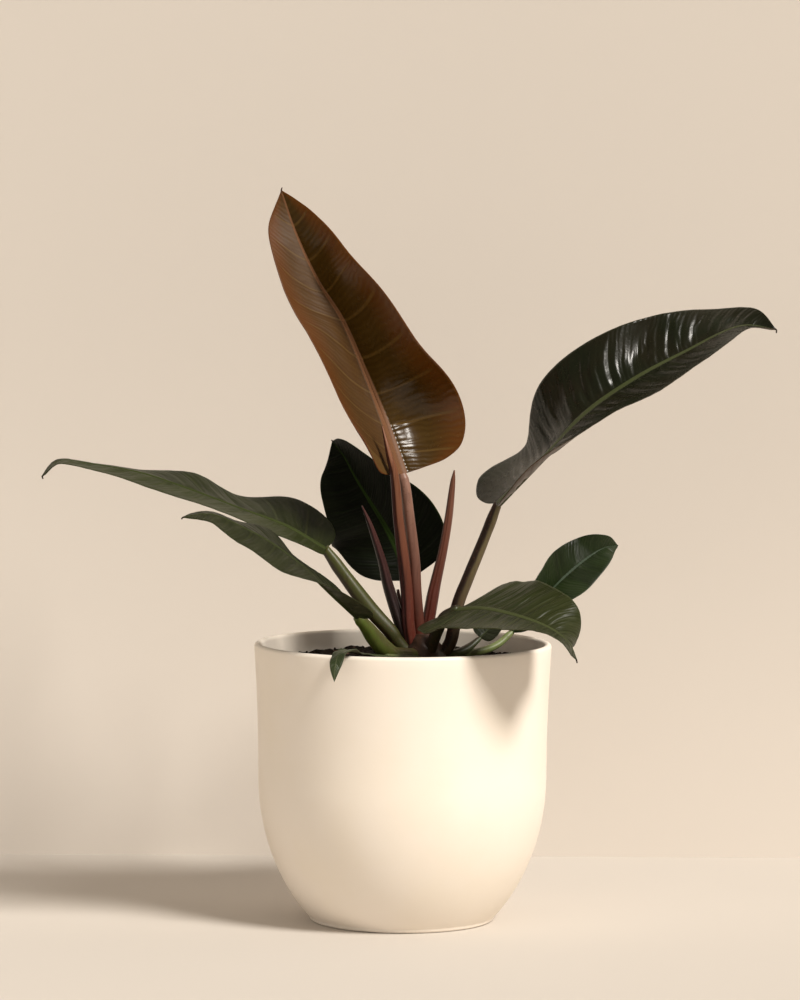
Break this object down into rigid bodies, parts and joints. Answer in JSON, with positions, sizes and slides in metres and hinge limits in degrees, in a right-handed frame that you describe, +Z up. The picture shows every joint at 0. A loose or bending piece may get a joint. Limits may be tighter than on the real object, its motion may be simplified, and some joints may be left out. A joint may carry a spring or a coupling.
{
  "type": "potted imperial red philodendron",
  "caption": "Young broad-leaved aroid with long pointed glossy leaves on short stalks, growing in soil in a round bellied ceramic pot.",
  "frame": {"origin": "centre of the pot's flat foot, on the surface that it stands on", "axes": "+Z up along the pot's axis; -Y towards the side seen in the picture, with +X to its right"},
  "size_m": [0.4025, 0.1968, 0.4033],
  "materials": {
    "pot_ceramic": "matte",
    "soil": "matte",
    "copper_leaf": "gloss",
    "dark_leaf": "gloss",
    "olive_leaf": "gloss",
    "red_stalk": "satin",
    "dark_stalk": "satin",
    "green_stalk": "satin"
  },
  "bodies": {
    "root": {"pot": "pot_ceramic", "potting_soil": "soil", "stem_crown": "red_stalk", "upright_petiole": "red_stalk", "upright_blade": "copper_leaf", "right_petiole": "dark_stalk", "right_blade": "dark_leaf", "left_petiole": "green_stalk", "left_blade": "olive_leaf", "low_left_petiole": "green_stalk", "low_left_blade": "olive_leaf", "back_petiole": "dark_stalk", "back_blade": "dark_leaf", "right_back_petiole": "green_stalk", "right_back_blade": "olive_leaf", "front_petiole": "dark_stalk", "front_blade": "olive_leaf", "rim_petiole": "green_stalk", "rim_blade": "olive_leaf", "inner_petiole": "green_stalk", "inner_blade": "dark_leaf", "front_sheath": "red_stalk", "right_sheath": "red_stalk", "left_sheath": "red_stalk", "short_sheath": "red_stalk"}
  },
  "joints": []
}
